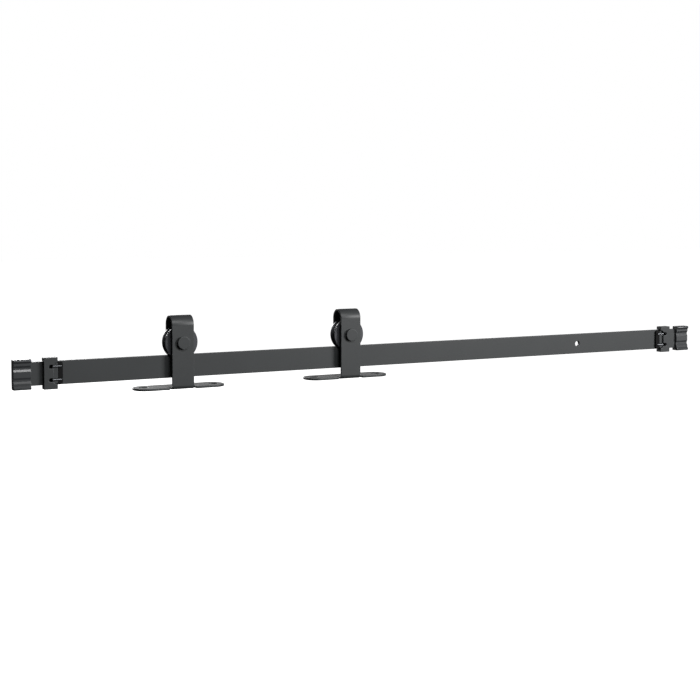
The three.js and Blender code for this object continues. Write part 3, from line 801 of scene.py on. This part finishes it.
# ---- Lock nuts ----
# The nut behind the strap is forged and blackened. Its hexagon is chamfered at both ends, and
# a round collar stands on its outer face.
NUT_ACROSS_FLATS = 13 * MM
NUT_SEAT_CHAMFER = 0.6 * MM
NUT_COLLAR_HEIGHT = 1.6 * MM
NUT_COLLAR_RADIUS = 6 * MM
NUT_EDGE = 0.2 * MM
for side in ("left", "right"):
    nut_low, nut_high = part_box(f"lock_nut_{side}")
    centre = (nut_low + nut_high) / 2
    half = (nut_high.y - nut_low.y) / 2
    corner = NUT_ACROSS_FLATS / math.sqrt(3)
    nut_shape = drill_bit(centre, (0, 1, 0), corner, 2 * half, sides=6)
    bmesh.ops.rotate(
        nut_shape, cent=centre, matrix=Matrix.Rotation(math.pi / 6, 3, "Y"), verts=nut_shape.verts,
    )
    shoulder = half - NUT_COLLAR_HEIGHT
    envelope = turned(centre, [
        (0, -half), (corner - NUT_SEAT_CHAMFER, -half), (corner, -half + NUT_SEAT_CHAMFER),
        (corner, shoulder - NUT_SEAT_CHAMFER), (NUT_COLLAR_RADIUS, shoulder),
        (NUT_COLLAR_RADIUS, half), (0, half),
    ], ROUND_STEPS)
    nut_shape = machine(nut_shape, envelope, "INTERSECT")
    bit = drill_bit(centre, (0, 1, 0), AXLE_BORE_RADIUS, BIT_LENGTH, sides=ROUND_STEPS)
    nut_shape = machine(nut_shape, bit)
    ease_edges(nut_shape, NUT_EDGE, segments=2)
    fit_piece(
        nut_shape, f"collared_nut_{side}", f"hanger_{side}", black_steel,
        f"lock_nut_{side}",
    )

# ---- Bearings ----
# A shielded ball bearing is pressed into each wheel: two ground rings with a race between
# them, seven balls in a cage, and a thin zinc-plated shield on each side.
BALL_COUNT = 7
BALL_PITCH_RADIUS = 7.6 * MM
BALL_RADIUS = 1.95 * MM
RACE_RADIUS = 2.1 * MM
OUTER_SHOULDER_RADIUS = 9 * MM
INNER_SHOULDER_RADIUS = 6.2 * MM
CAGE_HALF_DEPTH = 0.6 * MM
CAGE_HALF_WIDTH = 1 * MM
CAGE_STEPS = 56
BEARING_EDGE = 0.2 * MM
SHIELD_GAP = 0.2 * MM
SHIELD_EDGE = 0.1 * MM
# The faces of a ball are smaller than this, and whole faces of the cage are larger.
BALL_FACE_AREA = 0.2 * MM * MM
# Through-hardened bearing steel, ground: bright, with very fine rings.
bearing_steel = surface(
    "ground_bearing_steel", dark="#b4b6b8", light="#bec0c2", worn_and_highlit="#cfd0d1",
    grain=0.2 * MM, cloud=6 * MM, rough=0.22, relief=0.003 * MM, metallic=1.0,
    lathe_pitch=0.12 * MM,
)


def race(shoulder, steps=12):
    """The race of a ring from its front to its back, as (radius, place) points."""
    drop = shoulder - BALL_PITCH_RADIUS
    half = math.acos(abs(drop) / RACE_RADIUS)
    angles = [half * (2 * i / steps - 1) for i in range(steps + 1)]
    way = math.copysign(RACE_RADIUS, drop)
    return [(BALL_PITCH_RADIUS + way * math.cos(a), RACE_RADIUS * math.sin(a)) for a in angles]


def bearing(side):
    """The two rings of a bearing, and its balls in their cage."""
    low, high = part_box(f"bearing_outer_ring_{side}")
    centre = (low + high) / 2
    half = (high.y - low.y) / 2
    outer = (high.z - low.z) / 2
    ring = turned(centre, [
        (outer, -half), (outer, half), (OUTER_SHOULDER_RADIUS, half),
        *reversed(race(OUTER_SHOULDER_RADIUS)), (OUTER_SHOULDER_RADIUS, -half),
    ], WHEEL_STEPS)
    ease_edges(ring, BEARING_EDGE, segments=2)
    fit_piece(
        ring, f"outer_race_{side}", f"wheel_{side}", bearing_steel,
        f"bearing_outer_ring_{side}",
    )
    ring = turned(centre, [
        (AXLE_BORE_RADIUS, half), (AXLE_BORE_RADIUS, -half), (INNER_SHOULDER_RADIUS, -half),
        *race(INNER_SHOULDER_RADIUS), (INNER_SHOULDER_RADIUS, half),
    ], ROUND_STEPS)
    ease_edges(ring, BEARING_EDGE, segments=2)
    fit_piece(
        ring, f"inner_race_{side}", f"hanger_{side}", bearing_steel,
        f"bearing_inner_ring_{side}",
    )
    balls = turned(centre, [
        (BALL_PITCH_RADIUS - CAGE_HALF_DEPTH, -CAGE_HALF_WIDTH),
        (BALL_PITCH_RADIUS + CAGE_HALF_DEPTH, -CAGE_HALF_WIDTH),
        (BALL_PITCH_RADIUS + CAGE_HALF_DEPTH, CAGE_HALF_WIDTH),
        (BALL_PITCH_RADIUS - CAGE_HALF_DEPTH, CAGE_HALF_WIDTH),
    ], CAGE_STEPS)
    for i in range(BALL_COUNT):
        angle = 2 * math.pi * i / BALL_COUNT
        place = centre + BALL_PITCH_RADIUS * Vector((math.cos(angle), 0, math.sin(angle)))
        ball = bmesh.new()
        bmesh.ops.create_uvsphere(
            ball, u_segments=32, v_segments=20, radius=BALL_RADIUS,
            matrix=Matrix.Translation(place),
        )
        balls = machine(balls, ball, "UNION")
    for face in balls.faces:
        face.smooth = face.calc_area() < BALL_FACE_AREA
    fit_piece(
        balls, f"caged_balls_{side}", f"wheel_{side}", bearing_steel,
        f"bearing_balls_{side}",
    )


for side in ("left", "right"):
    bearing(side)
    for end in ("front", "back"):
        zinc_ring(
            f"bearing_shield_{end}_{side}", f"{end}_shield_{side}", f"wheel_{side}",
            INNER_SHOULDER_RADIUS + SHIELD_GAP, SHIELD_EDGE,
        )
